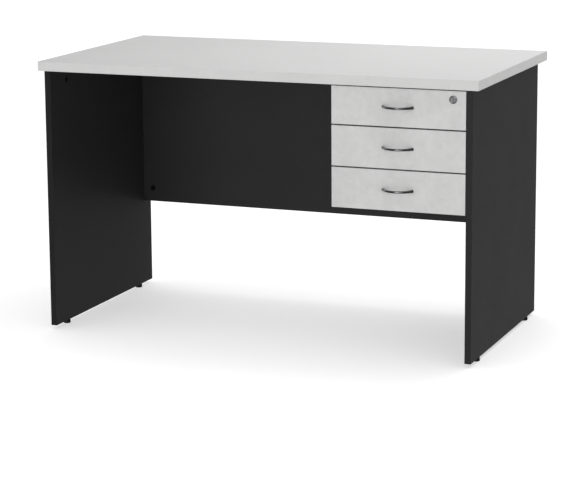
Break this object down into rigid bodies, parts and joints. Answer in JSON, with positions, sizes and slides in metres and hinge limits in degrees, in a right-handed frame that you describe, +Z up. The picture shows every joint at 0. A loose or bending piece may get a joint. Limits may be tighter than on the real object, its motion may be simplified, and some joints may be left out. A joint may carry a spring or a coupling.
{
  "type": "writing desk with drawers",
  "caption": "Straight office desk with a pale laminated top on dark end panels, a modesty panel, a hung drawer pedestal with bow handles and a lock, and levelling feet.",
  "frame": {"origin": "on the floor, under the centre of the space that the whole desk takes up, handles included", "axes": "+X to the right as seen from the user, towards the drawers; +Y from the user to the back; +Z up"},
  "size_m": [1.2, 0.661, 0.72],
  "materials": {
    "top_laminate": "fine-textured pale grey melamine on particle board",
    "top_edge_band": "satin pale grey edge band",
    "charcoal_laminate": "fine-textured charcoal melamine on particle board",
    "charcoal_edge_band": "satin charcoal edge band",
    "front_laminate": "pale grey melamine with a faint mottle on particle board",
    "drawer_box_board": "off-white melamine on particle board",
    "hardboard": "white-faced hardboard",
    "runner_steel": "cream powder coat",
    "nylon": "off-white nylon",
    "chrome": "polished chrome plate",
    "zinc_steel": "zinc-plated steel",
    "cam_metal": "black-coated die-cast zinc",
    "beech": "plain fluted beech",
    "foot_plastic": "black moulded nylon"
  },
  "bodies": {
    "carcass": {"bottom_cabinet_runners": "runner_steel", "cabinet_runner_screws": "zinc_steel", "cam_bolts": "zinc_steel", "cam_locks": "cam_metal", "desk_top": "top_laminate", "desk_top_edging": "top_edge_band", "dowels": "beech", "foot_inserts": "zinc_steel", "left_end_panel": "charcoal_laminate", "lock_strike_plate": "zinc_steel", "middle_cabinet_runners": "runner_steel", "modesty_panel": "charcoal_laminate", "panel_edging": "charcoal_edge_band", "pedestal_back": "charcoal_laminate", "pedestal_base": "charcoal_laminate", "pedestal_edging": "charcoal_edge_band", "pedestal_front_rail": "charcoal_laminate", "pedestal_left_side": "charcoal_laminate", "pedestal_rear_rail": "charcoal_laminate", "pedestal_right_side": "charcoal_laminate", "pedestal_screws": "zinc_steel", "right_end_panel": "charcoal_laminate", "top_cabinet_runners": "runner_steel"},
    "top_drawer": {"top_drawer_front": "front_laminate", "top_drawer_sides": "drawer_box_board", "top_drawer_back": "drawer_box_board", "top_drawer_base": "hardboard", "top_drawer_handle": "chrome", "top_handle_screws": "zinc_steel", "top_drawer_runners": "runner_steel", "lock_housing": "chrome", "lock_nut": "zinc_steel"},
    "top_drawer_rollers": {"top_drawer_rollers": "nylon"},
    "top_cabinet_rollers": {"top_cabinet_rollers": "nylon"},
    "middle_drawer": {"middle_drawer_front": "front_laminate", "middle_drawer_sides": "drawer_box_board", "middle_drawer_back": "drawer_box_board", "middle_drawer_base": "hardboard", "middle_drawer_handle": "chrome", "middle_handle_screws": "zinc_steel", "middle_drawer_runners": "runner_steel"},
    "middle_drawer_rollers": {"middle_drawer_rollers": "nylon"},
    "middle_cabinet_rollers": {"middle_cabinet_rollers": "nylon"},
    "bottom_drawer": {"bottom_drawer_front": "front_laminate", "bottom_drawer_sides": "drawer_box_board", "bottom_drawer_back": "drawer_box_board", "bottom_drawer_base": "hardboard", "bottom_drawer_handle": "chrome", "bottom_handle_screws": "zinc_steel", "bottom_drawer_runners": "runner_steel"},
    "bottom_drawer_rollers": {"bottom_drawer_rollers": "nylon"},
    "bottom_cabinet_rollers": {"bottom_cabinet_rollers": "nylon"},
    "lock_barrel": {"lock_barrel": "chrome", "lock_tongue": "zinc_steel", "lock_tongue_screw": "zinc_steel"},
    "left_front_foot": {"left_front_foot": "foot_plastic"},
    "left_rear_foot": {"left_rear_foot": "foot_plastic"},
    "right_front_foot": {"right_front_foot": "foot_plastic"},
    "right_rear_foot": {"right_rear_foot": "foot_plastic"}
  },
  "joints": [
    {"name": "top_drawer_slide", "type": "slide", "parent": "carcass", "child": "top_drawer", "axis": [0, -1, 0], "range_m": [0, 0.3]},
    {"name": "top_drawer_roller_turn", "type": "hinge", "parent": "top_drawer", "child": "top_drawer_rollers", "pos_m": [0.392, 0.1005, 0.6237], "axis": [1, 0, 0], "continuous": true},
    {"name": "top_cabinet_roller_turn", "type": "hinge", "parent": "carcass", "child": "top_cabinet_rollers", "pos_m": [0.392, -0.2715, 0.6237], "axis": [1, 0, 0], "continuous": true},
    {"name": "middle_drawer_slide", "type": "slide", "parent": "carcass", "child": "middle_drawer", "axis": [0, -1, 0], "range_m": [0, 0.3]},
    {"name": "middle_drawer_roller_turn", "type": "hinge", "parent": "middle_drawer", "child": "middle_drawer_rollers", "pos_m": [0.392, 0.1005, 0.5182], "axis": [1, 0, 0], "continuous": true},
    {"name": "middle_cabinet_roller_turn", "type": "hinge", "parent": "carcass", "child": "middle_cabinet_rollers", "pos_m": [0.392, -0.2715, 0.5182], "axis": [1, 0, 0], "continuous": true},
    {"name": "bottom_drawer_slide", "type": "slide", "parent": "carcass", "child": "bottom_drawer", "axis": [0, -1, 0], "range_m": [0, 0.3]},
    {"name": "bottom_drawer_roller_turn", "type": "hinge", "parent": "bottom_drawer", "child": "bottom_drawer_rollers", "pos_m": [0.392, 0.1005, 0.4127], "axis": [1, 0, 0], "continuous": true},
    {"name": "bottom_cabinet_roller_turn", "type": "hinge", "parent": "carcass", "child": "bottom_cabinet_rollers", "pos_m": [0.392, -0.2715, 0.4127], "axis": [1, 0, 0], "continuous": true},
    {"name": "lock_turn", "type": "hinge", "parent": "top_drawer", "child": "lock_barrel", "pos_m": [0.534, -0.2935, 0.6705], "axis": [0, -1, 0], "range_deg": [0, 90]},
    {"name": "left_front_foot_height", "type": "slide", "parent": "carcass", "child": "left_front_foot", "axis": [0, 0, -1], "range_m": [0, 0.01]},
    {"name": "left_rear_foot_height", "type": "slide", "parent": "carcass", "child": "left_rear_foot", "axis": [0, 0, -1], "range_m": [0, 0.01]},
    {"name": "right_front_foot_height", "type": "slide", "parent": "carcass", "child": "right_front_foot", "axis": [0, 0, -1], "range_m": [0, 0.01]},
    {"name": "right_rear_foot_height", "type": "slide", "parent": "carcass", "child": "right_rear_foot", "axis": [0, 0, -1], "range_m": [0, 0.01]}
  ],
  "couplings": [
    {"joint": "top_drawer_roller_turn", "follows": "top_drawer_slide", "rad_per_m": 125},
    {"joint": "top_cabinet_roller_turn", "follows": "top_drawer_slide", "rad_per_m": 125},
    {"joint": "middle_drawer_roller_turn", "follows": "middle_drawer_slide", "rad_per_m": 125},
    {"joint": "middle_cabinet_roller_turn", "follows": "middle_drawer_slide", "rad_per_m": 125},
    {"joint": "bottom_drawer_roller_turn", "follows": "bottom_drawer_slide", "rad_per_m": 125},
    {"joint": "bottom_cabinet_roller_turn", "follows": "bottom_drawer_slide", "rad_per_m": 125}
  ]
}
